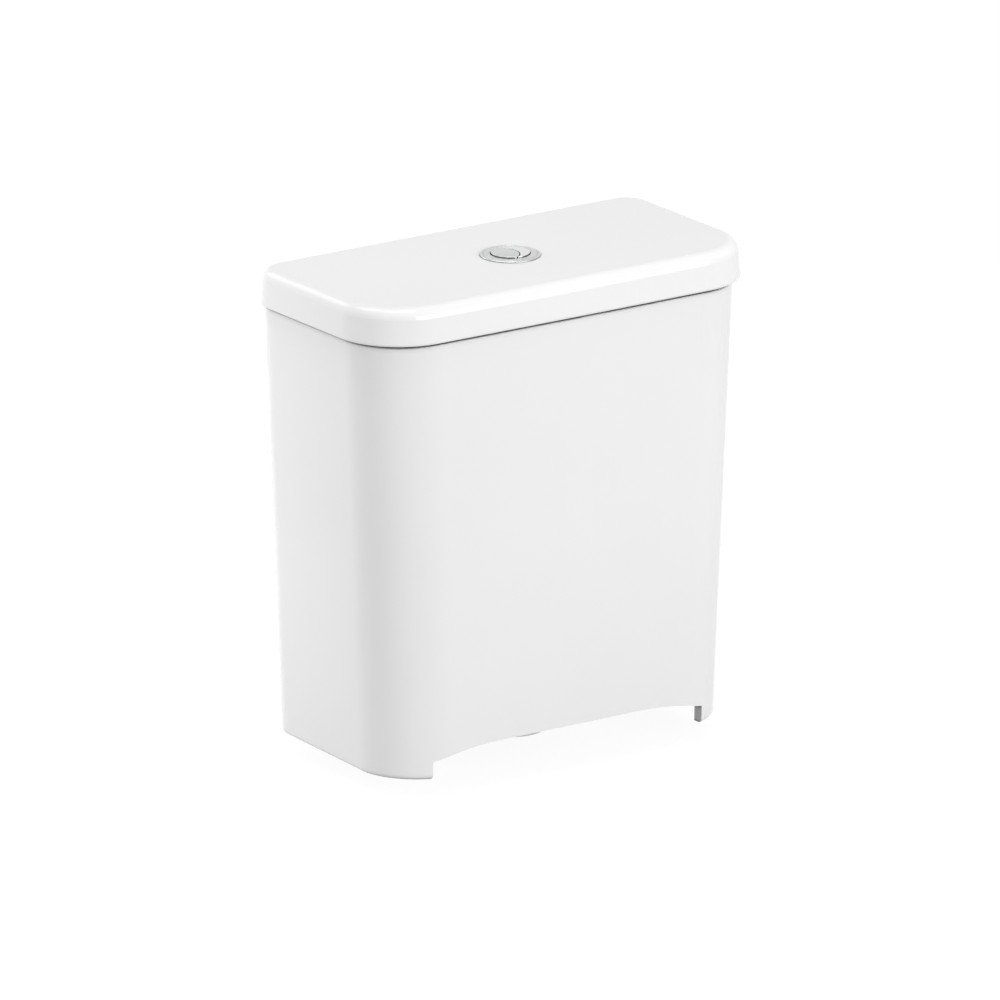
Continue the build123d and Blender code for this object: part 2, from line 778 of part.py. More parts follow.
with BuildPart() as inlet_washer:
    with BuildSketch(Plane.XY.offset(floor_top)):
        with Locations(inlet_place):
            Circle(inlet_flange_radius)
            Circle(inlet_thread_radius + slip, mode=Mode.SUBTRACT)
    extrude(amount=washer_thickness)
finish(inlet_washer, "inlet_washer")

with BuildPart() as inlet_backnut:
    with BuildSketch(Plane.XY.offset(floor_under - inlet_nut_height)):
        with Locations(inlet_place):
            RegularPolygon(inlet_nut_across / 2, 6, major_radius=False)
            Circle(inlet_thread_radius + slip, mode=Mode.SUBTRACT)
    extrude(amount=inlet_nut_height)
finish(inlet_backnut, "inlet_backnut")

with BuildPart() as inlet_strainer:
    with BuildSketch(Plane.XY.offset(inlet_bottom + strainer_wall)):
        with Locations(inlet_place):
            Circle(inlet_bore_radius - slip)
    extrude(amount=strainer_length)
    with BuildSketch(Plane.XY.offset(inlet_bottom + strainer_wall)):
        with Locations(inlet_place):
            Circle(inlet_bore_radius - slip - strainer_wall)
    extrude(amount=strainer_length - strainer_wall, mode=Mode.SUBTRACT)
    with BuildSketch(Plane.XY.offset(inlet_bottom + strainer_length / 4)):
        with Locations(inlet_place):
            Rectangle(2 * inlet_bore_radius, 2 * strainer_wall)
            Rectangle(2 * strainer_wall, 2 * inlet_bore_radius)
    extrude(amount=strainer_length / 2, mode=Mode.SUBTRACT)
finish(inlet_strainer, "inlet_strainer")

with BuildPart() as fill_head:
    with BuildSketch(Plane.XY.offset(riser_top)):
        with Locations(inlet_place):
            Circle(head_radius)
    extrude(amount=head_height)
    with BuildSketch(Plane.XY.offset(riser_top + head_wall)):
        with Locations(inlet_place):
            Circle(head_radius - head_wall)
    extrude(amount=head_height - head_wall, mode=Mode.SUBTRACT)
    with BuildSketch(Plane.XY.offset(riser_top)):
        with Locations(inlet_place):
            Circle(inlet_bore_radius + seat_nozzle_wall)
    extrude(amount=head_height - seat_nozzle_drop)
    with BuildSketch(Plane.XY.offset(riser_top)):
        with Locations(inlet_place):
            Circle(inlet_bore_radius)
        with Locations((inlet_x + refill_offset, inlet_y)):
            Circle(refill_radius - refill_wall)
    extrude(amount=head_height, mode=Mode.SUBTRACT)
finish(fill_head, "fill_head")

with BuildPart() as refill_tube:
    with BuildSketch(Plane.XY.offset(floor_top + refill_above_floor)):
        with Locations((inlet_x + refill_offset, inlet_y)):
            Circle(refill_radius)
            Circle(refill_radius - refill_wall, mode=Mode.SUBTRACT)
    extrude(amount=riser_top - floor_top - refill_above_floor)
finish(refill_tube, "refill_tube")

with BuildPart() as diaphragm:
    with BuildSketch(Plane.XY.offset(head_top)):
        with Locations(inlet_place):
            Circle(head_radius)
    extrude(amount=diaphragm_thickness)
finish(diaphragm, "diaphragm")

arm_ear_inner = arm_width / 2 + arm_gap
bleed_drop = bleed_offset * math.tan(arm_tilt) + arm_thickness / 2 / math.cos(arm_tilt) + pad_gap

with BuildPart() as fill_cap:
    with BuildSketch(Plane.XY.offset(head_top - cap_skirt)):
        with Locations(inlet_place):
            Circle(cap_radius)
            with PolarLocations(cap_radius, cap_grips):
                Circle(cap_grip_radius)
    extrude(amount=cap_skirt + diaphragm_thickness + cap_height)
    with BuildSketch(Plane.XY.offset(head_top - cap_skirt)):
        with Locations(inlet_place):
            Circle(head_radius + slip)
    extrude(amount=cap_skirt + diaphragm_thickness, mode=Mode.SUBTRACT)
    with BuildSketch(Plane.XY.offset(cap_top)):
        with Locations((arm_pivot_x + bleed_offset, inlet_y)):
            Circle(bleed_radius)
    extrude(amount=arm_pivot_above_cap - bleed_drop)
    for start in (inlet_y - arm_ear_inner, inlet_y + arm_ear_inner + arm_ear_wall):
        with BuildSketch(Plane.XZ.offset(-start)):
            with Locations((arm_pivot_x, arm_pivot_height)):
                Circle(arm_ear_radius)
            with Locations((arm_pivot_x, (cap_top + arm_pivot_height) / 2)):
                Rectangle(2 * arm_ear_radius, arm_pivot_above_cap)
            with Locations((arm_pivot_x, arm_pivot_height)):
                Circle(arm_pin_radius + slip, mode=Mode.SUBTRACT)
        extrude(amount=arm_ear_wall)
finish(fill_cap, "fill_cap")

with BuildPart() as arm_pin:
    with BuildSketch(Plane.XZ.offset(-inlet_y - arm_ear_inner - arm_ear_wall)):
        with Locations((arm_pivot_x, arm_pivot_height)):
            Circle(arm_pin_radius)
    extrude(amount=2 * (arm_ear_inner + arm_ear_wall))
finish(arm_pin, "arm_pin")

arm_reach = arm_length + arm_slot_length / 2
arm_middle = (arm_reach - arm_tail) / 2

with BuildPart() as float_arm:
    with BuildSketch(Plane.XZ.offset(-inlet_y)):
        with Locations((arm_pivot_x - arm_middle * math.cos(arm_tilt),
                        arm_pivot_height - arm_middle * math.sin(arm_tilt))):
            SlotCenterToCenter(arm_reach + arm_tail, arm_thickness, rotation=math.degrees(arm_tilt))
        with Locations((arm_pivot_x, arm_pivot_height)):
            Circle(lever_hub_radius)
            Circle(arm_pin_radius + running_gap, mode=Mode.SUBTRACT)
    extrude(amount=arm_width / 2, both=True)
    with BuildSketch(Plane.XY.offset(arm_end_height - arm_width)):
        with Locations((float_rod_x, inlet_y)):
            SlotOverall(arm_slot_length, 2 * (adjusting_rod_radius + arm_slot_gap))
    extrude(amount=2 * arm_width, mode=Mode.SUBTRACT)
finish(float_arm, "float_arm")

fill_float_top = riser_top - fill_float_below_head
fill_float_x = inlet_x - riser_radius - fill_float_gap - fill_float_length / 2
clip_offset = arm_thickness / 2 / math.cos(arm_tilt) + rod_clip_radius * math.tan(arm_tilt) + clip_gap

with BuildPart() as fill_float:
    with BuildSketch(Plane.XY.offset(fill_float_top - fill_float_height)):
        with Locations((fill_float_x, inlet_y)):
            RectangleRounded(fill_float_length, fill_float_width, fill_float_round)
    extrude(amount=fill_float_height)
    with BuildSketch(Plane.XY.offset(fill_float_top - fill_float_height)):
        with Locations((fill_float_x, inlet_y)):
            RectangleRounded(fill_float_length - 2 * fill_float_wall,
                             fill_float_width - 2 * fill_float_wall, fill_float_round - fill_float_wall)
    extrude(amount=fill_float_height - fill_float_wall, mode=Mode.SUBTRACT)
    with BuildSketch(Plane.XY.offset(fill_float_top)):
        with Locations((float_rod_x, inlet_y)):
            Circle(float_boss_radius)
            Circle(adjusting_rod_radius + slip, mode=Mode.SUBTRACT)
    extrude(amount=float_boss_height)
    with BuildSketch(Plane.XY.offset(fill_float_top - fill_collar_height)):
        with Locations(inlet_place):
            Circle(riser_radius + guide_gap + fill_collar_wall)
        with Locations((inlet_x - riser_radius - fill_float_gap, inlet_y)):
            Rectangle(2 * fill_collar_wall, 2 * riser_radius)
        with Locations(inlet_place):
            Circle(riser_radius + guide_gap, mode=Mode.SUBTRACT)
            with Locations((fill_collar_mouth + riser_radius, 0)):
                Rectangle(2 * riser_radius, 4 * riser_radius, mode=Mode.SUBTRACT)
    extrude(amount=fill_collar_height)
finish(fill_float, "fill_float")

with BuildPart() as adjusting_rod:
    with BuildSketch(Plane.XY.offset(fill_float_top)):
        with Locations((float_rod_x, inlet_y)):
            Circle(adjusting_rod_radius)
    extrude(amount=arm_end_height + clip_offset + 2 * rod_clip_height - fill_float_top)
finish(adjusting_rod, "adjusting_rod")

with BuildPart() as rod_clips:
    for bottom in (arm_end_height - clip_offset - rod_clip_height, arm_end_height + clip_offset):
        with BuildSketch(Plane.XY.offset(bottom)):
            with Locations((float_rod_x, inlet_y)):
                Circle(rod_clip_radius)
                Circle(adjusting_rod_radius + slip, mode=Mode.SUBTRACT)
        extrude(amount=rod_clip_height)
finish(rod_clips, "rod_clips")
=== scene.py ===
import math

import bmesh
import bpy
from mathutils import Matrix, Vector


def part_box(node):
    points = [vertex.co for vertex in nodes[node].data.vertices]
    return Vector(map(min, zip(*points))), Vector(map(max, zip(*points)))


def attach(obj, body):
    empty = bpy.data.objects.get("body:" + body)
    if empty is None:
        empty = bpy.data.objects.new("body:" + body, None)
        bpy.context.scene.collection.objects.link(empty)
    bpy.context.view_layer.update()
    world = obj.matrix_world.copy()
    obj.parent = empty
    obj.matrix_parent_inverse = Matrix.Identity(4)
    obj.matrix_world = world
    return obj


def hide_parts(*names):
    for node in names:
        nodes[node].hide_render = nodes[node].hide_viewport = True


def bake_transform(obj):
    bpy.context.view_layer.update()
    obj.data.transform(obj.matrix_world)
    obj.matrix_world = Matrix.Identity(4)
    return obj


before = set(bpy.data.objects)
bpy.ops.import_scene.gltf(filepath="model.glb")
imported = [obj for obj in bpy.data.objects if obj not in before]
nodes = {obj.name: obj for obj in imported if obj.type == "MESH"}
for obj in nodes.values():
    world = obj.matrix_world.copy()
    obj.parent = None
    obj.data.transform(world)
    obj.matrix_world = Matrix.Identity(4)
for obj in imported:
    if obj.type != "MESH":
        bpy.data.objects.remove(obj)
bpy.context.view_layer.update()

MM = 0.001

# Camera: a long lens from the left of the front, a little above
SENSOR = 36.0
LENS = 665.95
CAMERA_AZIMUTH = math.radians(34.84)
CAMERA_ELEVATION = math.radians(16.86)
CAMERA_DISTANCE = 14563 * MM
CAMERA_TARGET = Vector((-8.85, 1.35, 188.25)) * MM

# Studio: pale floor, white backdrop and soft boxes aimed at the middle of the tank
WHITE = (1.0, 1.0, 1.0, 1.0)
WORLD_STRENGTH = 0.468
FLOOR_HEIGHT = -14.5 * MM
FLOOR_SIZE = 12.0
FLOOR_COLOUR = (0.86, 0.86, 0.86, 1.0)
FLOOR_BOUNCE = (0.34, 0.34, 0.34, 1.0)
FLOOR_WHITE_SHARE = 0.84
FLOOR_WHITE = 1.1
LAMP_TARGET = Vector((0, 0, 200)) * MM
# name: direction from the tank, distance, width and height in metres, watts, seen in reflections
LAMPS = {
    "top": ((-0.07, -0.10, 0.99), 3.0, 1.1, 1.1, 16.8, True),
    "top_left": ((-0.32, 0.29, 0.90), 3.0, 1.1, 1.1, 9.6, True),
    "rear_left": ((-0.29, 0.78, 0.55), 3.0, 1.1, 1.1, 6.0, True),
    "front": ((0.25, -1.00, 0.26), 3.2, 2.6, 1.6, 62.0, True),
    "left_side": ((-1.00, 0.15, 0.02), 3.0, 1.4, 0.8, 23.5, False),
    "rear_strip": ((-0.50, 0.60, 0.00), 0.7, 0.3, 0.3, 1.35, False),
}

# Sockets of Blender's mix node, which has a set for values and one for colours
VALUE_SOCKETS = (2, 3)
VALUE_RESULT = 0
COLOUR_SOCKETS = (6, 7)
COLOUR_RESULT = 2

# Colours of the materials
GLAZE = (0.903, 0.903, 0.903)
GLAZE_SHADE = (0.886, 0.886, 0.886)
# painted shade: near-black colour laid into the glaze where it is enclosed
GLAZE_PAINTED_SHADE = (0.05, 0.05, 0.05)
CLAY = (0.72, 0.68, 0.6)
CLAY_SHADE = (0.6, 0.56, 0.49)
DARK_CHROME = (0.6, 0.605, 0.61)
LIGHT_CHROME = (0.74, 0.745, 0.75)
# painted shade: black colour laid into the chrome where it is enclosed
CHROME_PAINTED_SHADE = (0.01, 0.01, 0.01)
WHITE_PLASTIC = (0.84, 0.84, 0.82)
GREY_PLASTIC = (0.5, 0.52, 0.53)
BLUE_PLASTIC = (0.06, 0.2, 0.52)
ACETAL = (0.86, 0.86, 0.83)
RUBBER = (0.03, 0.03, 0.032)
FOAM = (0.06, 0.06, 0.065)
TURNED_STEEL = (0.62, 0.61, 0.6)
WIRE_STEEL = (0.66, 0.65, 0.64)

# Values shared by the materials: noise lies mostly in this range, and painted shade darkens gaps over
# this reach
NOISE_LOW = 0.3
NOISE_HIGH = 0.7
PAINTED_SHADE_SAMPLES = 8
GLAZE_PAINTED_SHADE_REACH = 7.0
CHROME_PAINTED_SHADE_REACH = 3.0
GLAZE_SPECULAR = 0.5
GLAZE_EDGE = 0.4
TANK_BARE_HEIGHT = 1.2
LID_BARE_HEIGHT = 345.0

# Threads: shares of the pitch at which the crest ends and the root begins and ends
CREST_END = 0.12
ROOT_START = 0.5
ROOT_END = 0.62
THREAD_POINTS = 4

# Steps round an axis
FINE_STEPS = 128
MIDDLE_STEPS = 96
BOLT_STEPS = 64
COARSE_STEPS = 48
QUARTER_STEPS = 6
RIM_STEPS = 9

# Threads and fasteners, in millimetres
WELD = 0.0005
SLIP = 0.1
BOLT_RADIUS = 4.0
BOLT_ROOT = 3.3
BOLT_PITCH = 1.25
BOLT_HEAD_ACROSS = 13.0
BOLT_INTO_NUT = 1.0
HEXAGON_CHAMFER_SHARE = 0.96
HEXAGON_CHAMFER_ANGLE = math.radians(30)
SHARP_ANGLE = math.radians(32)
INLET_RADIUS = 10.48
INLET_ROOT = 9.32
INLET_PITCH = 1.814
INLET_TAIL = 20.0
INLET_RELIEF = 1.5
INLET_FLANGE = 4.0
INLET_EDGE = 0.6
INLET_BORE = 5.5
RISER_RADIUS = 9.0
SLEEVE_CREST = 19.0
SLEEVE_ROOT = 18.45
SLEEVE_PITCH = 2.5
SLEEVE_PLAIN = 4.0

# Push button, its ring and springs, and the foam gasket, in millimetres
RING_RISE = 1.4
RING_FLAT = 21.3
RING_GROOVE = 0.2
RING_FOOT = 0.25
SLEEVE_RADIUS = 18.5
SLEEVE_INNER = 16.0
GUIDE_PLATE = 3.0
GUIDE_HOLE = 2.4
RODS = ((-9.0, -7.0), (9.0, 7.0))
BUTTON_RADIUS = 15.5
BUTTON_BELOW_BOX = 0.05
BUTTON_UNDER_LID_TOP = 0.3
BUTTON_SKIRT = 5.5
BUTTON_SKIRT_WALL = 1.5
BUTTON_ROUND = 0.4
SPLIT_CENTRE = (-12.5, 1.0)
SPLIT_RADIUS = 18.4
SPLIT_GAP = 0.7
STEM_RADIUS = 3.4
STEM_BORE = 2.1
SPRING_RADIUS = 2.85
SPRING_WIRE = 0.45
SPRING_TURNS = 5
SPRING_END_PITCH = 0.95
SPRING_STEPS = 32
SPRING_SIDES = 12
GASKET_BORE = 42.0
GASKET_ROUND = 3.5
GASKET_INNER_ROUND = 1.5


def make_camera():
    """Camera at the photograph's viewing angle."""
    forward = Vector((math.sin(CAMERA_AZIMUTH) * math.cos(CAMERA_ELEVATION),
                      math.cos(CAMERA_AZIMUTH) * math.cos(CAMERA_ELEVATION),
                      -math.sin(CAMERA_ELEVATION)))
    data = bpy.data.cameras.new("camera")
    data.sensor_width = SENSOR
    data.sensor_fit = "HORIZONTAL"
    data.lens = LENS
    data.clip_end = 100.0
    camera = bpy.data.objects.new("camera", data)
    camera.location = CAMERA_TARGET - forward * CAMERA_DISTANCE
    camera.rotation_euler = forward.to_track_quat("-Z", "Y").to_euler()
    bpy.context.scene.collection.objects.link(camera)
    bpy.context.scene.camera = camera


def camera_sees(tree):
    """1 for rays from the camera, a reflection or a transmission, else 0."""
    path = tree.nodes.new("ShaderNodeLightPath")
    first = tree.nodes.new("ShaderNodeMath")
    first.operation = "MAXIMUM"
    tree.links.new(path.outputs["Is Camera Ray"], first.inputs[0])
    tree.links.new(path.outputs["Is Glossy Ray"], first.inputs[1])
    second = tree.nodes.new("ShaderNodeMath")
    second.operation = "MAXIMUM"
    tree.links.new(first.outputs[0], second.inputs[0])
    tree.links.new(path.outputs["Is Transmission Ray"], second.inputs[1])
    return second.outputs[0]


def make_world():
    """White backdrop for the camera and reflections, softer light for everything else."""
    world = bpy.data.worlds.new("studio")
    bpy.context.scene.world = world
    world.use_nodes = True
    tree = world.node_tree
    tree.nodes.clear()
    light = tree.nodes.new("ShaderNodeBackground")
    light.inputs["Color"].default_value = WHITE
    light.inputs["Strength"].default_value = WORLD_STRENGTH
    seen = tree.nodes.new("ShaderNodeBackground")
    seen.inputs["Color"].default_value = WHITE
    seen.inputs["Strength"].default_value = 1.0
    mix = tree.nodes.new("ShaderNodeMixShader")
    output = tree.nodes.new("ShaderNodeOutputWorld")
    tree.links.new(camera_sees(tree), mix.inputs["Fac"])
    tree.links.new(light.outputs[0], mix.inputs[1])
    tree.links.new(seen.outputs[0], mix.inputs[2])
    tree.links.new(mix.outputs[0], output.inputs["Surface"])


def make_floor():
    """Plain floor that is almost white to the camera and still takes a faint shadow."""
    half = FLOOR_SIZE / 2
    mesh = bpy.data.meshes.new("floor")
    mesh.from_pydata([(-half, -half, FLOOR_HEIGHT), (half, -half, FLOOR_HEIGHT),
                      (half, half, FLOOR_HEIGHT), (-half, half, FLOOR_HEIGHT)], [], [(0, 1, 2, 3)])
    floor = bpy.data.objects.new("floor", mesh)
    bpy.context.scene.collection.objects.link(floor)
    material = bpy.data.materials.new("floor")
    material.use_nodes = True
    tree = material.node_tree
    shader = tree.nodes["Principled BSDF"]
    shade = tree.nodes.new("ShaderNodeMix")
    shade.data_type = "RGBA"
    shade.inputs[COLOUR_SOCKETS[0]].default_value = FLOOR_BOUNCE
    shade.inputs[COLOUR_SOCKETS[1]].default_value = FLOOR_COLOUR
    seen = camera_sees(tree)
    tree.links.new(seen, shade.inputs["Factor"])
    tree.links.new(shade.outputs[COLOUR_RESULT], shader.inputs["Base Color"])
    shader.inputs["Roughness"].default_value = 1.0
    shader.inputs["Specular IOR Level"].default_value = 0.0
    white = tree.nodes.new("ShaderNodeEmission")
    white.inputs["Strength"].default_value = FLOOR_WHITE
    share = tree.nodes.new("ShaderNodeMath")
    share.operation = "MULTIPLY"
    share.inputs[1].default_value = FLOOR_WHITE_SHARE
    mix = tree.nodes.new("ShaderNodeMixShader")
    tree.links.new(seen, share.inputs[0])
    tree.links.new(share.outputs[0], mix.inputs["Fac"])
    tree.links.new(shader.outputs[0], mix.inputs[1])
    tree.links.new(white.outputs[0], mix.inputs[2])
    tree.links.new(mix.outputs[0], tree.nodes["Material Output"].inputs["Surface"])
    mesh.materials.append(material)


def make_lamps():
    """Soft boxes round the tank."""
    for name, (direction, distance, width, height, watts, mirrored) in LAMPS.items():
        data = bpy.data.lights.new(name, "AREA")
        data.shape = "RECTANGLE"
        data.size = width
        data.size_y = height
        data.energy = watts
        lamp = bpy.data.objects.new(name, data)
        lamp.visible_glossy = mirrored
        way = Vector(direction).normalized()
        lamp.location = LAMP_TARGET + way * distance
        lamp.rotation_euler = way.to_track_quat("Z", "Y").to_euler()
        bpy.context.scene.collection.objects.link(lamp)


class Finish:
    """A procedural material: its shader and the texture nodes that feed it."""

    def __init__(self, name):
        self.material = bpy.data.materials.new(name)
        self.material.use_nodes = True
        self.tree = self.material.node_tree
        self.shader = self.tree.nodes["Principled BSDF"]
        self.place = self.tree.nodes.new("ShaderNodeTexCoord").outputs["Object"]

    def noise(self, scale, detail=2.0, stretch=(1.0, 1.0, 1.0)):
        """Noise in object space, its grain per metre, drawn out by the stretch."""
        mapping = self.tree.nodes.new("ShaderNodeMapping")
        mapping.inputs["Scale"].default_value = stretch
        texture = self.tree.nodes.new("ShaderNodeTexNoise")
        texture.inputs["Scale"].default_value = scale
        texture.inputs["Detail"].default_value = detail
        self.tree.links.new(self.place, mapping.inputs["Vector"])
        self.tree.links.new(mapping.outputs["Vector"], texture.inputs["Vector"])
        return texture.outputs["Fac"]

    def cells(self, scale):
        """Distance to the nearest of scattered points, for foam."""
        texture = self.tree.nodes.new("ShaderNodeTexVoronoi")
        texture.inputs["Scale"].default_value = scale
        self.tree.links.new(self.place, texture.inputs["Vector"])
        return texture.outputs["Distance"]

    def rings(self, scale):
        """Fine rings round the upright axis, as turning and lapping leave."""
        texture = self.tree.nodes.new("ShaderNodeTexWave")
        texture.wave_type = "RINGS"
        texture.rings_direction = "Z"
        texture.inputs["Scale"].default_value = scale
        texture.inputs["Distortion"].default_value = 3.0
        texture.inputs["Detail"].default_value = 3.0
        self.tree.links.new(self.place, texture.inputs["Vector"])
        return texture.outputs["Fac"]

    def between(self, factor, low, high):
        """The factor's middle range spread from the low to the high value."""
        spread = self.tree.nodes.new("ShaderNodeMapRange")
        spread.inputs["From Min"].default_value = NOISE_LOW
        spread.inputs["From Max"].default_value = NOISE_HIGH
        spread.inputs["To Min"].default_value = low
        spread.inputs["To Max"].default_value = high
        self.tree.links.new(factor, spread.inputs["Value"])
        return spread.outputs["Result"]

    def below(self, height, soft):
        """1 under a height of the object, 0 above it."""
        split = self.tree.nodes.new("ShaderNodeSeparateXYZ")
        spread = self.tree.nodes.new("ShaderNodeMapRange")
        spread.inputs["From Min"].default_value = height
        spread.inputs["From Max"].default_value = height + soft
        spread.inputs["To Min"].default_value = 1.0
        spread.inputs["To Max"].default_value = 0.0
        self.tree.links.new(self.place, split.inputs["Vector"])
        self.tree.links.new(split.outputs["Z"], spread.inputs["Value"])
        return spread.outputs["Result"]

    def painted_shade_mask(self, reach, closed_share, open_share):
        """Painted-shade mask: 1 where no more than the closed share of the surroundings is open, 0 from
        the open share on.
        """
        corner = self.tree.nodes.new("ShaderNodeAmbientOcclusion")
        corner.samples = PAINTED_SHADE_SAMPLES
        corner.inputs["Distance"].default_value = reach * MM
        spread = self.tree.nodes.new("ShaderNodeMapRange")
        spread.inputs["From Min"].default_value = closed_share
        spread.inputs["From Max"].default_value = open_share
        spread.inputs["To Min"].default_value = 1.0
        spread.inputs["To Max"].default_value = 0.0
        self.tree.links.new(corner.outputs["AO"], spread.inputs["Value"])
        return spread.outputs["Result"]

    def blend(self, factor, first, second):
        """Two colours, or a colour socket and a colour, mixed by the factor."""
        mix = self.tree.nodes.new("ShaderNodeMix")
        mix.data_type = "RGBA"
        self.tree.links.new(factor, mix.inputs["Factor"])
        for socket, colour in zip(COLOUR_SOCKETS, (first, second)):
            if isinstance(colour, tuple):
                mix.inputs[socket].default_value = (*colour, 1.0)
            else:
                self.tree.links.new(colour, mix.inputs[socket])
        return mix.outputs[COLOUR_RESULT]

    def mix_values(self, factor, first, second):
        """A value socket and a number mixed by the factor."""
        mix = self.tree.nodes.new("ShaderNodeMix")
        self.tree.links.new(factor, mix.inputs["Factor"])
        self.tree.links.new(first, mix.inputs[VALUE_SOCKETS[0]])
        mix.inputs[VALUE_SOCKETS[1]].default_value = second
        return mix.outputs[VALUE_RESULT]

    def bump(self, height, depth, onto=None):
        """Relief of the given depth in millimetres, laid over an earlier one."""
        relief = self.tree.nodes.new("ShaderNodeBump")
        relief.inputs["Distance"].default_value = depth * MM
        self.tree.links.new(height, relief.inputs["Height"])
        if onto is not None:
            self.tree.links.new(onto, relief.inputs["Normal"])
        self.tree.links.new(relief.outputs["Normal"], self.shader.inputs["Normal"])
        return relief.outputs["Normal"]

    def colour(self, socket):
        """Feed the shader's colour."""
        self.tree.links.new(socket, self.shader.inputs["Base Color"])

    def roughness(self, socket):
        """Feed the shader's roughness."""
        self.tree.links.new(socket, self.shader.inputs["Roughness"])

    def dull_in(self, painted_shade):
        """Take the glaze's shine away in a gap, along with the painted shade there."""
        shine = self.tree.nodes.new("ShaderNodeMapRange")
        shine.inputs["To Min"].default_value = GLAZE_SPECULAR
        shine.inputs["To Max"].default_value = 0.0
        self.tree.links.new(painted_shade, shine.inputs["Value"])
        self.tree.links.new(shine.outputs["Result"], self.shader.inputs["Specular IOR Level"])


def glazed_ceramic(name, bare_height):
    """White glaze with a slight waviness and painted shade in its gaps; under the bare height the fired
    clay shows.
    """
    finish = Finish(name)
    glaze = finish.blend(finish.between(finish.noise(7.0), 0.0, 1.0), GLAZE, GLAZE_SHADE)
    # painted shade: the glaze turns near black where little of its surroundings is open, and loses its
    # shine there
    painted_shade = finish.painted_shade_mask(GLAZE_PAINTED_SHADE_REACH, closed_share=0.54, open_share=0.9)
    glaze = finish.blend(painted_shade, glaze, GLAZE_PAINTED_SHADE)
    clay = finish.blend(finish.noise(900.0), CLAY, CLAY_SHADE)
    bare = finish.below(bare_height * MM, GLAZE_EDGE * MM)
    finish.colour(finish.blend(bare, glaze, clay))
    finish.roughness(finish.mix_values(bare, finish.between(finish.noise(14.0), 0.09, 0.15), 0.85))
    finish.dull_in(painted_shade)
    wave = finish.bump(finish.noise(11.0, 1.0), depth=0.25)
    finish.bump(finish.noise(380.0), depth=0.004, onto=wave)
    return finish.material


def satin_chrome(name, tone, low_roughness, high_roughness):
    """Chrome plate with a fine satin grain in rings, and painted shade in its gaps."""
    finish = Finish(name)
    finish.shader.inputs["Metallic"].default_value = 1.0
    grain = finish.rings(900.0)
    dark = tuple(0.94 * part for part in tone)
    plate = finish.blend(finish.between(finish.noise(160.0), 0.0, 1.0), tone, dark)
    # painted shade: the chrome turns black where little of its surroundings is open
    painted_shade = finish.painted_shade_mask(CHROME_PAINTED_SHADE_REACH, closed_share=0.45, open_share=0.85)
    finish.colour(finish.blend(painted_shade, plate, CHROME_PAINTED_SHADE))
    finish.roughness(finish.between(finish.noise(60.0), low_roughness, high_roughness))
    finish.bump(grain, depth=0.002)
    return finish.material


def moulded_plastic(name, tone, low_roughness=0.34, high_roughness=0.5, grain=0.012):
    """Satin moulding with a fine eroded grain and slight flow shades."""
    finish = Finish(name)
    shade = tuple(0.93 * part for part in tone)
    finish.colour(finish.blend(finish.between(finish.noise(45.0, 3.0), 0.0, 1.0), tone, shade))
    finish.roughness(finish.between(finish.noise(220.0), low_roughness, high_roughness))
    wave = finish.bump(finish.noise(60.0, 1.0), depth=0.05)
    finish.bump(finish.noise(2600.0), depth=grain, onto=wave)
    return finish.material


def soft_rubber(name, tone):
    """Matt rubber with a bloom of talc."""
    finish = Finish(name)
    dust = tuple(part + 0.03 for part in tone)
    finish.colour(finish.blend(finish.between(finish.noise(120.0, 4.0), 0.0, 1.0), tone, dust))
    finish.roughness(finish.between(finish.noise(260.0), 0.62, 0.85))
    finish.bump(finish.noise(1400.0), depth=0.02)
    return finish.material


def cell_foam(name, tone):
    """Closed-cell foam of the coupling gasket."""
    finish = Finish(name)
    dust = tuple(part + 0.05 for part in tone)
    pores = finish.cells(900.0)
    finish.colour(finish.blend(pores, tone, dust))
    finish.roughness(finish.between(finish.noise(200.0), 0.85, 1.0))
    finish.bump(pores, depth=0.25)
    return finish.material


def brushed_steel(name, tone, stretch):
    """Stainless steel with its grain drawn out across the stretch."""
    finish = Finish(name)
    finish.shader.inputs["Metallic"].default_value = 1.0
    grain = finish.noise(900.0, 3.0, stretch)
    shade = tuple(0.8 * part for part in tone)
    finish.colour(finish.blend(finish.between(grain, 0.0, 1.0), tone, shade))
    finish.roughness(finish.between(grain, 0.22, 0.42))
    finish.bump(grain, depth=0.01)
    return finish.material


def dress(material, *names):
    """Give CAD nodes a material."""
    for name in names:
        nodes[name].data.materials.clear()
        nodes[name].data.materials.append(material)


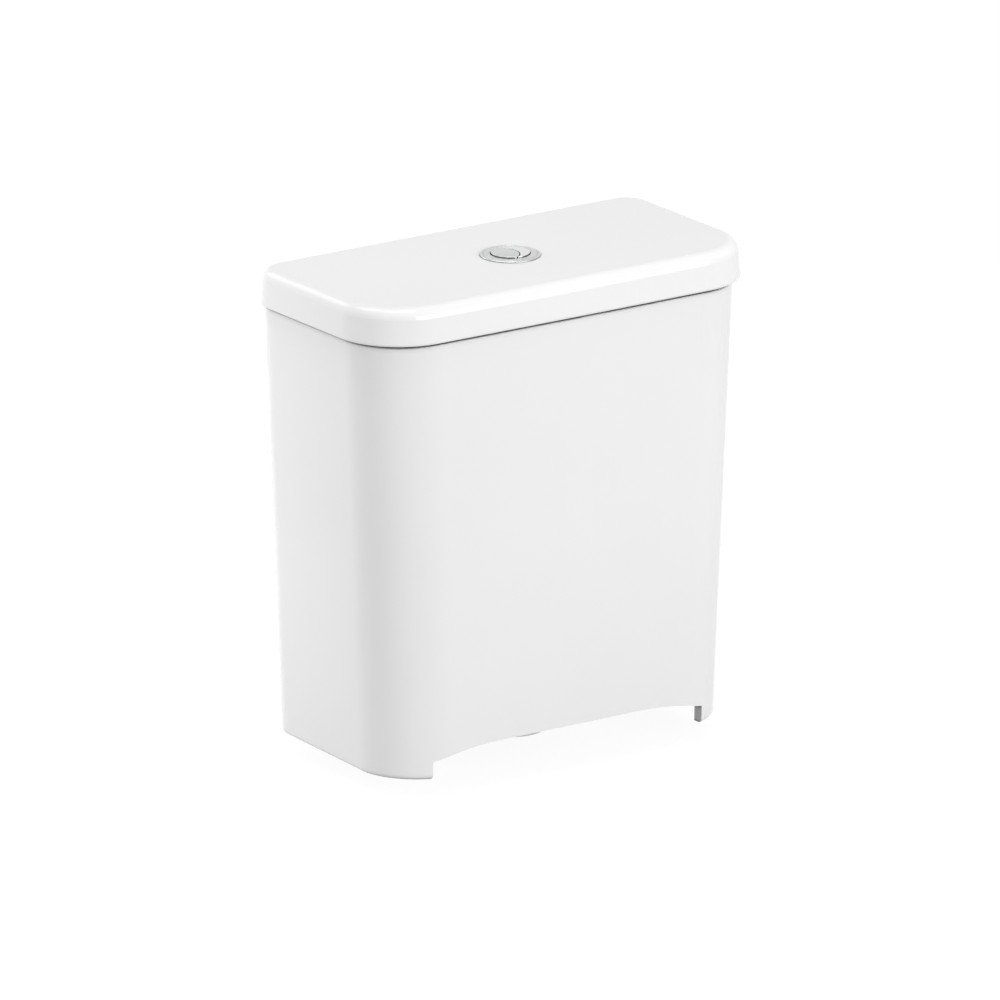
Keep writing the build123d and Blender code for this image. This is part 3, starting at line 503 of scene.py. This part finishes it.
def dress_nodes():
    """Materials of the CAD nodes."""
    dress(glazed_ceramic("tank_glaze", TANK_BARE_HEIGHT), "tank")
    dress(glazed_ceramic("lid_glaze", LID_BARE_HEIGHT), "lid")
    dress(satin_chrome("ring_chrome", DARK_CHROME, 0.26, 0.34), "button_bezel")
    dress(satin_chrome("full_chrome", DARK_CHROME, 0.2, 0.3), "full_button")
    dress(satin_chrome("half_chrome", LIGHT_CHROME, 0.2, 0.28), "half_button")
    dress(moulded_plastic("white_plastic", WHITE_PLASTIC), "valve_base", "valve_tower", "lift_yoke",
          "fill_head", "fill_float", "inlet_backnut", "outlet_backnut", "button_nut", "rod_clips",
          "flush_float")
    dress(moulded_plastic("grey_plastic", GREY_PLASTIC), "overflow_tube", "seal_carrier",
          "seal_retainer", "full_rod", "half_rod", "adjusting_rod", "refill_tube", "inlet_strainer")
    dress(moulded_plastic("blue_plastic", BLUE_PLASTIC, 0.3, 0.42), "full_lever", "half_lever",
          "float_arm", "fill_cap")
    dress(moulded_plastic("acetal", ACETAL, 0.28, 0.4, 0.008), "inlet_shank")
    dress(soft_rubber("rubber", RUBBER), "base_washer", "flush_seal", "bolt_cone_seals",
          "inlet_washer", "diaphragm")
    dress(cell_foam("foam", FOAM), "coupling_gasket")
    dress(brushed_steel("turned_steel", TURNED_STEEL, (1.0, 1.0, 12.0)), "fixing_bolts",
          "bolt_top_washers", "bolt_under_washers", "bolt_lock_nuts")
    dress(brushed_steel("wire_steel", WIRE_STEEL, (6.0, 6.0, 1.0)), "lever_pin", "arm_pin",
          "full_spring", "half_spring")


def on_circle(centre, radius, angle, height):
    """Point at an angle on a level circle."""
    return (centre[0] + radius * math.cos(angle), centre[1] + radius * math.sin(angle), height)


def carried_round(profile, centre, steps):
    """Points and faces of a profile carried round an upright axis; it may vary with the angle."""
    points = []
    for step in range(steps):
        angle = math.tau * step / steps
        column = profile(angle)
        points += [on_circle(centre, radius, angle, height) for radius, height in column]
    count = len(column)
    faces = []
    for step in range(steps):
        here = step * count
        there = (step + 1) % steps * count
        for row in range(count - 1):
            faces.append((here + row, there + row, there + row + 1, here + row + 1))
    return points, faces


def turned(outline, centre, steps):
    """Points and faces of an outline carried round an upright axis as it is."""
    return carried_round(lambda angle: outline, centre, steps)


def quarter(radius, height, size, start):
    """Quarter circle round (radius, height), counterclockwise from the start angle in degrees."""
    angles = [math.radians(start + 90 * step / QUARTER_STEPS) for step in range(QUARTER_STEPS + 1)]
    return [(radius + size * math.cos(angle), height + size * math.sin(angle)) for angle in angles]


def threaded(centre, crest, root, pitch, bottom, top, steps):
    """Points and faces of a right-hand thread with square-cut, chamfered ends."""
    turns = math.ceil((top - bottom) / pitch) + 2
    form = ((0.0, crest), (CREST_END, crest), (ROOT_START, root), (ROOT_END, root))
    rows = [(turn + part, radius) for turn in range(turns) for part, radius in form]
    points = []
    for step in range(steps):
        angle = math.tau * step / steps
        for turn, full in rows:
            height = bottom - pitch + (turn + step / steps) * pitch
            height = min(max(height, bottom), top)
            radius = min(full, root + height - bottom, root + top - height)
            points.append(on_circle(centre, radius, angle, height))
    count = len(rows)
    faces = []
    for step in range(steps):
        here = step * count
        there = (step + 1) % steps * count
        lift = THREAD_POINTS if step == steps - 1 else 0
        for row in range(count - 1 - lift):
            faces.append((here + row + lift, there + row, there + row + 1, here + row + 1 + lift))
    return points, faces


def hexagon_radius(angle, across):
    """Distance from the middle of a hexagon to its side at an angle."""
    return across / 2 / math.cos((angle + math.pi / 6) % (math.pi / 3) - math.pi / 6)


def hexagon_profile(across, bottom, top, hole, chamfer_bottom):
    """Profile of a nut or bolt head whose corners are chamfered."""
    rim = across / 2 * HEXAGON_CHAMFER_SHARE

    def profile(angle):
        side = hexagon_radius(angle, across)
        drop = max(side - rim, 0) * math.tan(HEXAGON_CHAMFER_ANGLE)
        low = (min(side, rim), bottom) if chamfer_bottom else (side, bottom)
        return [(hole, bottom), low, (side, bottom + drop if chamfer_bottom else bottom),
                (side, top - drop), (min(side, rim), top), (hole, top)]

    return profile


def make_piece(name, shells, material, body=None):
    """One object from shells of points, in millimetres, and faces; with a body it is attached to it."""
    points = []
    faces = []
    for shell_points, shell_faces in shells:
        start = len(points)
        points += [tuple(MM * part for part in point) for point in shell_points]
        faces += [tuple(start + corner for corner in face) for face in shell_faces]
    mesh = bpy.data.meshes.new(name)
    mesh.from_pydata(points, [], faces)
    shape = bmesh.new()
    shape.from_mesh(mesh)
    bmesh.ops.remove_doubles(shape, verts=shape.verts, dist=WELD * MM)
    bmesh.ops.dissolve_degenerate(shape, edges=shape.edges, dist=WELD * MM)
    bmesh.ops.recalc_face_normals(shape, faces=shape.faces)
    shape.to_mesh(mesh)
    shape.free()
    mesh.shade_smooth()
    mesh.set_sharp_from_angle(angle=SHARP_ANGLE)
    mesh.materials.append(material)
    piece = bpy.data.objects.new(name, mesh)
    bpy.context.scene.collection.objects.link(piece)
    if body:
        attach(piece, body)
    return piece


def material_of(name):
    """Material that a CAD node was given."""
    return nodes[name].data.materials[0]


def box_mm(name):
    """Lowest and highest corner of a CAD node, in millimetres."""
    low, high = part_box(name)
    return Vector(low) / MM, Vector(high) / MM


def make_bolts(material):
    """Fixing bolts with rolled threads and chamfered heads, and their lock nuts."""
    low, high = box_mm("fixing_bolts")
    nut_low, nut_high = box_mm("bolt_lock_nuts")
    head_bottom = box_mm("bolt_top_washers")[1].z
    thread_top = nut_low.z + BOLT_INTO_NUT
    end_face = [(0, low.z), (BOLT_ROOT, low.z)]
    shank = [(BOLT_ROOT, nut_low.z), (BOLT_ROOT, head_bottom)]
    head = hexagon_profile(BOLT_HEAD_ACROSS, head_bottom, high.z, 0, False)
    nut = hexagon_profile(BOLT_HEAD_ACROSS, nut_low.z, nut_high.z, BOLT_RADIUS, True)
    bolts = []
    nuts = []
    for side in (-1, 1):
        centre = (side * (high.x - BOLT_HEAD_ACROSS / math.sqrt(3)), (low.y + high.y) / 2)
        bolts += [threaded(centre, BOLT_RADIUS, BOLT_ROOT, BOLT_PITCH, low.z, thread_top, BOLT_STEPS),
                  turned(end_face, centre, BOLT_STEPS),
                  turned(shank, centre, COARSE_STEPS),
                  carried_round(head, centre, MIDDLE_STEPS)]
        nuts.append(carried_round(nut, centre, MIDDLE_STEPS))
    bolt_piece = make_piece("threaded_bolts", bolts, material, "tank")
    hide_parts("fixing_bolts")
    nut_piece = make_piece("chamfered_lock_nuts", nuts, material, "tank")
    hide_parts("bolt_lock_nuts")


def make_inlet(material):
    """Inlet with its half-inch pipe thread, flange and riser."""
    low, high = box_mm("inlet_shank")
    centre = ((low.x + high.x) / 2, (low.y + high.y) / 2)
    flange_radius = (high.x - low.x) / 2
    flange_bottom = box_mm("inlet_washer")[1].z
    flange_top = flange_bottom + INLET_FLANGE
    tail_top = low.z + INLET_TAIL
    relief_top = tail_top + INLET_RELIEF
    thread = (centre, INLET_RADIUS, INLET_ROOT, INLET_PITCH)
    relief = [(INLET_ROOT, tail_top), (INLET_ROOT, relief_top)]
    flange = [(INLET_ROOT, flange_bottom), (flange_radius - INLET_EDGE, flange_bottom),
              (flange_radius, flange_bottom + INLET_EDGE), (flange_radius, flange_top - INLET_EDGE),
              (flange_radius - INLET_EDGE, flange_top), (RISER_RADIUS, flange_top),
              (RISER_RADIUS, high.z), (INLET_BORE, high.z), (INLET_BORE, low.z), (INLET_ROOT, low.z)]
    shells = [threaded(*thread, low.z, tail_top, MIDDLE_STEPS),
              turned(relief, centre, MIDDLE_STEPS),
              threaded(*thread, relief_top, flange_bottom, MIDDLE_STEPS),
              turned(flange, centre, MIDDLE_STEPS)]
    inlet = make_piece("threaded_inlet", shells, material, "tank")
    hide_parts("inlet_shank")


def make_sleeve_thread(material):
    """Thread on the button's sleeve below its nut."""
    thread_bottom = box_mm("button_bezel")[0].z + SLEEVE_PLAIN
    thread_top = box_mm("button_nut")[0].z - SLIP
    shell = threaded((0, 0), SLEEVE_CREST, SLEEVE_ROOT, SLEEVE_PITCH, thread_bottom, thread_top,
                     MIDDLE_STEPS)
    make_piece("sleeve_thread", [shell], material, "lid")


def holed_disc(radius, height, holes, hole_radius, steps):
    """Points and faces of a flat disc with round holes."""
    shape = bmesh.new()
    edges = []
    for centre, size in [((0, 0), radius)] + [(hole, hole_radius) for hole in holes]:
        angles = [math.tau * step / steps for step in range(steps)]
        ring = [shape.verts.new(on_circle(centre, size, angle, height)) for angle in angles]
        edges += [shape.edges.new((ring[step - 1], ring[step])) for step in range(steps)]
    bmesh.ops.triangle_fill(shape, use_beauty=True, edges=edges)
    shape.verts.index_update()
    points = [tuple(vert.co) for vert in shape.verts]
    faces = [tuple(vert.index for vert in face.verts) for face in shape.faces]
    shape.free()
    return points, faces


def make_ring(material):
    """Button's ring with a flat top, a groove and a rounded rim, on its sleeve with the guide plate."""
    low, high = box_mm("button_bezel")
    lid_top = box_mm("lid")[1].z
    top = lid_top + RING_RISE
    plate_top = low.z + GUIDE_PLATE
    rim_start = RING_FLAT + 2 * RING_GROOVE
    rim_rise = RING_RISE - RING_FOOT
    rim_run = high.x - rim_start
    turns = [math.pi / 2 * step / RIM_STEPS for step in range(RIM_STEPS + 1)]
    rim = [(rim_start + rim_run * math.sin(turn), lid_top + RING_FOOT + rim_rise * math.cos(turn))
           for turn in turns]
    lip = [(SLEEVE_INNER, top - RING_GROOVE), (SLEEVE_INNER + RING_GROOVE, top)]
    groove = [(RING_FLAT, top), (RING_FLAT + RING_GROOVE, top - RING_GROOVE)]
    sleeve = [(high.x, lid_top), (SLEEVE_RADIUS, lid_top), (SLEEVE_RADIUS, low.z)]
    hole = [(GUIDE_HOLE, low.z), (GUIDE_HOLE, plate_top)]
    shells = [turned([(SLEEVE_INNER, plate_top)] + lip + groove + rim + sleeve, (0, 0), FINE_STEPS),
              holed_disc(SLEEVE_INNER, plate_top, RODS, GUIDE_HOLE, FINE_STEPS),
              holed_disc(SLEEVE_RADIUS, low.z, RODS, GUIDE_HOLE, FINE_STEPS)]
    shells += [turned(hole, rod, FINE_STEPS) for rod in RODS]
    ring = make_piece("rimmed_bezel", shells, material, "lid")
    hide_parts("button_bezel")


def arc(centre, radius, start, end):
    """Points from the start to the end angle of a circle."""
    angles = [start + (end - start) * step / COARSE_STEPS for step in range(COARSE_STEPS + 1)]
    return [on_circle(centre, radius, angle, 0)[:2] for angle in angles]


def button_outline(larger, inset):
    """Outline of one part of the round button, split by an arc, drawn in by the inset."""
    radius = BUTTON_RADIUS - inset
    reach = SPLIT_GAP / 2 + inset
    split = SPLIT_RADIUS - reach if larger else SPLIT_RADIUS + reach
    apart = math.hypot(*SPLIT_CENTRE)
    facing = math.atan2(SPLIT_CENTRE[1], SPLIT_CENTRE[0])
    along = (radius ** 2 - split ** 2 + apart ** 2) / (2 * apart)
    half = math.acos(along / radius)
    split_half = math.acos((apart - along) / split)
    away = facing + math.pi
    if larger:
        return (arc((0, 0), radius, facing - half, facing + half)
                + arc(SPLIT_CENTRE, split, away - split_half, away + split_half))
    return (arc((0, 0), radius, facing + half, facing + math.tau - half)
            + arc(SPLIT_CENTRE, split, away + split_half, away - split_half))


def button_shell(larger, top, under):
    """Points and faces of a cap with rounded edge, its skirt and its flat faces."""
    edge = [(BUTTON_ROUND - across, height)
            for across, height in quarter(0, top - BUTTON_ROUND, BUTTON_ROUND, 0)]
    skirt_bottom = under - BUTTON_SKIRT
    rows = [(BUTTON_SKIRT_WALL, under), (BUTTON_SKIRT_WALL, skirt_bottom), (0, skirt_bottom)] + edge
    points = []
    for inset, height in rows:
        outline = button_outline(larger, inset)
        points += [(x, y, height) for x, y in outline]
    count = len(outline)
    faces = [tuple(range(count)), tuple(range(len(points) - count, len(points)))]
    for row in range(len(rows) - 1):
        for corner in range(count):
            here = row * count + corner
            there = row * count + (corner + 1) % count
            faces.append((here, there, there + count, here + count))
    return points, faces


def make_button(name, node, larger, rod):
    """One part of the button, standing proud of the ring, with the socket for its rod."""
    top = box_mm("button_bezel")[1].z - BUTTON_BELOW_BOX
    under = box_mm("lid")[1].z - BUTTON_UNDER_LID_TOP
    socket_bottom = box_mm(node)[0].z
    socket = [(STEM_BORE, under), (STEM_BORE, socket_bottom), (STEM_RADIUS, socket_bottom),
              (STEM_RADIUS, under)]
    shells = [button_shell(larger, top, under), turned(socket, rod, COARSE_STEPS)]
    button = make_piece(name, shells, material_of(node), node)
    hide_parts(node)


def coil(centre, low, high):
    """Points and faces of a compression spring whose end turns lie close."""
    rise = (high - low - 2 * SPRING_END_PITCH) / SPRING_TURNS
    points = []
    steps = SPRING_STEPS * (SPRING_TURNS + 2)
    for step in range(steps + 1):
        turn = step / SPRING_STEPS
        end_turns = min(turn, 1) + max(turn - 1 - SPRING_TURNS, 0)
        height = low + SPRING_END_PITCH * end_turns + rise * min(max(turn - 1, 0), SPRING_TURNS)
        for side in range(SPRING_SIDES):
            around = math.tau * side / SPRING_SIDES
            radius = SPRING_RADIUS + SPRING_WIRE * math.cos(around)
            rise_round = SPRING_WIRE * math.sin(around)
            points.append(on_circle(centre, radius, math.tau * turn, height + rise_round))
    faces = [tuple(range(SPRING_SIDES)), tuple(range(len(points) - SPRING_SIDES, len(points)))]
    for step in range(steps):
        for side in range(SPRING_SIDES):
            here = step * SPRING_SIDES + side
            there = step * SPRING_SIDES + (side + 1) % SPRING_SIDES
            faces.append((here, there, there + SPRING_SIDES, here + SPRING_SIDES))
    return points, faces


def make_spring(name, node):
    """Return spring that shortens between the lid's guide plate and its button."""
    low, high = box_mm(node)
    centre = ((low.x + high.x) / 2, (low.y + high.y) / 2)
    bottom = low.z + SPRING_WIRE
    top = high.z - SPRING_WIRE
    spring = make_piece(name, [coil(centre, bottom, top)], material_of(node))
    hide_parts(node)
    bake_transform(spring)


def make_gasket(material):
    """Foam gasket with its lower edges rounded."""
    low, high = box_mm("coupling_gasket")
    centre = ((low.x + high.x) / 2, (low.y + high.y) / 2)
    outer = (high.x - low.x) / 2
    inner_edge = quarter(GASKET_BORE + GASKET_INNER_ROUND, low.z + GASKET_INNER_ROUND,
                         GASKET_INNER_ROUND, 180)
    outer_edge = quarter(outer - GASKET_ROUND, low.z + GASKET_ROUND, GASKET_ROUND, 270)
    top = [(outer, high.z), (GASKET_BORE, high.z)]
    outline = [(GASKET_BORE, high.z)] + inner_edge + outer_edge + top
    gasket = make_piece("rounded_gasket", [turned(outline, centre, FINE_STEPS)], material, "tank")
    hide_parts("coupling_gasket")


make_camera()
make_world()
make_floor()
make_lamps()
dress_nodes()
make_bolts(material_of("lever_pin"))
make_inlet(material_of("inlet_shank"))
make_sleeve_thread(material_of("button_bezel"))
make_ring(material_of("button_bezel"))
make_button("proud_full_button", "full_button", True, RODS[0])
make_button("proud_half_button", "half_button", False, RODS[1])
make_spring("full_return_spring", "full_spring")
make_spring("half_return_spring", "half_spring")
make_gasket(material_of("coupling_gasket"))

bpy.context.scene.view_settings.view_transform = "Standard"
